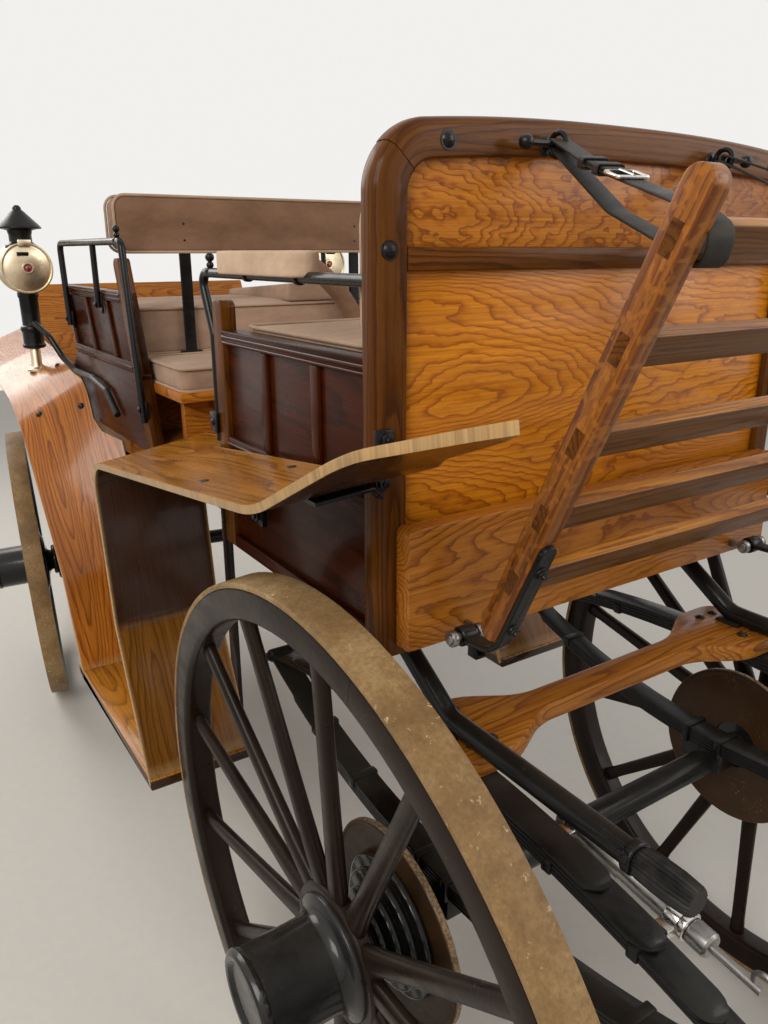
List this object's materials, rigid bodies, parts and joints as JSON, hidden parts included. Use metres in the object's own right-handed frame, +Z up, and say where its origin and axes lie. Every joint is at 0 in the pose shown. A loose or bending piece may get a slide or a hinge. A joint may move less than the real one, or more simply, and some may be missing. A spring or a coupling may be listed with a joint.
{
  "type": "wagonette",
  "caption": "Open horse-drawn wagonette with spoked wheels, elliptic springs, bent wooden mudguards, padded seats and a folding luggage rack",
  "frame": {"origin": "on the ground under the middle of the carriage's box", "axes": "+X forward along the body, +Y to the left, +Z up"},
  "size_m": [3.4672, 1.361, 1.787],
  "materials": {
    "wood_dark": "dark walnut-coloured frame and posts, gloss varnish",
    "wood_panel": "amber varnished ash and oak boards, gloss",
    "wood_guard": "bent wooden guards, orange-brown gloss varnish",
    "wood_bar": "golden oak bar and seat boards, satin varnish",
    "wheel_wood": "dark chocolate-brown painted and varnished wood",
    "tyre": "worn beige-brown tread band",
    "iron_black": "gloss black irons, springs and axles, lightly worn",
    "hub_black": "gloss black hubs and drums",
    "velvet": "mauve-brown plush upholstery with pale piping",
    "leather": "dark grey-black strap leather",
    "rubber": "ribbed black rubber pads",
    "lamp_brass": "champagne brass lamp body and post",
    "steel": "bright steel dampers and rods"
  },
  "bodies": {
    "carriage": {"rear_frame": "wood_dark", "rear_side_left": "wood_dark", "rear_side_right": "wood_dark", "front_side_left": "wood_dark", "front_side_right": "wood_dark", "rear_panel": "wood_panel", "tail_board": "wood_panel", "toe_board": "wood_panel", "floor": "wood_panel", "rear_mudguard_left": "wood_guard", "rear_mudguard_right": "wood_guard", "front_mudguard_left": "wood_guard", "front_mudguard_right": "wood_guard", "step_boards": "wood_guard", "hind_spring_bar": "wood_bar", "rear_seat": "wood_bar", "middle_seat": "wood_bar", "front_seat": "wood_bar", "rear_axle": "iron_black", "rear_springs": "iron_black", "body_loops": "iron_black", "rear_arm_rails": "iron_black", "front_arm_rails": "iron_black", "guard_irons": "iron_black", "step_hangers": "iron_black", "upper_turntable": "iron_black", "rack_brackets": "iron_black", "frame_irons": "iron_black", "back_stays": "iron_black", "rear_back_cushion": "velvet", "rear_cushion": "velvet", "middle_cushion": "velvet", "front_cushion": "velvet", "driver_wedge": "velvet", "driver_back_cushion": "velvet", "back_roll": "velvet", "arm_pads": "velvet", "rack_straps": "leather", "step_pads": "rubber", "side_lamps": "lamp_brass", "spring_dampers": "steel"},
    "fore_carriage": {"front_axle": "iron_black", "front_springs": "iron_black", "fore_bar": "wheel_wood", "futchells": "wheel_wood", "lower_turntable": "iron_black"},
    "folding_rack": {"luggage_rack": "wood_guard", "rack_hinges": "iron_black"},
    "rear_left_wheel": {"rear_wheel_left": "wheel_wood", "rear_tyre_left": "tyre", "rear_hub_left": "hub_black"},
    "rear_right_wheel": {"rear_wheel_right": "wheel_wood", "rear_tyre_right": "tyre", "rear_hub_right": "hub_black"},
    "front_left_wheel": {"front_wheel_left": "wheel_wood", "front_tyre_left": "tyre", "front_hub_left": "hub_black"},
    "front_right_wheel": {"front_wheel_right": "wheel_wood", "front_tyre_right": "tyre", "front_hub_right": "hub_black"}
  },
  "joints": [
    {"name": "steering", "type": "hinge", "parent": "carriage", "child": "fore_carriage", "pos_m": [1.07938, 0, 0.893], "axis": [0, 0, 1], "range_deg": [-21, 39]},
    {"name": "rack_fold", "type": "hinge", "parent": "carriage", "child": "folding_rack", "pos_m": [-1.16462, 0, 1.1], "axis": [0, 1, 0], "range_deg": [0, 22], "deforming": ["rack_straps"]},
    {"name": "rear_left_wheel_spin", "type": "hinge", "parent": "carriage", "child": "rear_left_wheel", "pos_m": [-1.13062, 0.561, 0.59952], "axis": [0, 0.9992, -0.0401], "continuous": true},
    {"name": "rear_right_wheel_spin", "type": "hinge", "parent": "carriage", "child": "rear_right_wheel", "pos_m": [-1.13062, -0.561, 0.59952], "axis": [0, 0.9992, 0.0401], "continuous": true},
    {"name": "front_left_wheel_spin", "type": "hinge", "parent": "fore_carriage", "child": "front_left_wheel", "pos_m": [1.16714, 0.55409, 0.4996], "axis": [0.1563, 0.9869, -0.0401], "continuous": true},
    {"name": "front_right_wheel_spin", "type": "hinge", "parent": "fore_carriage", "child": "front_right_wheel", "pos_m": [0.99162, -0.55409, 0.4996], "axis": [0.1563, 0.9869, 0.0401], "continuous": true}
  ]
}
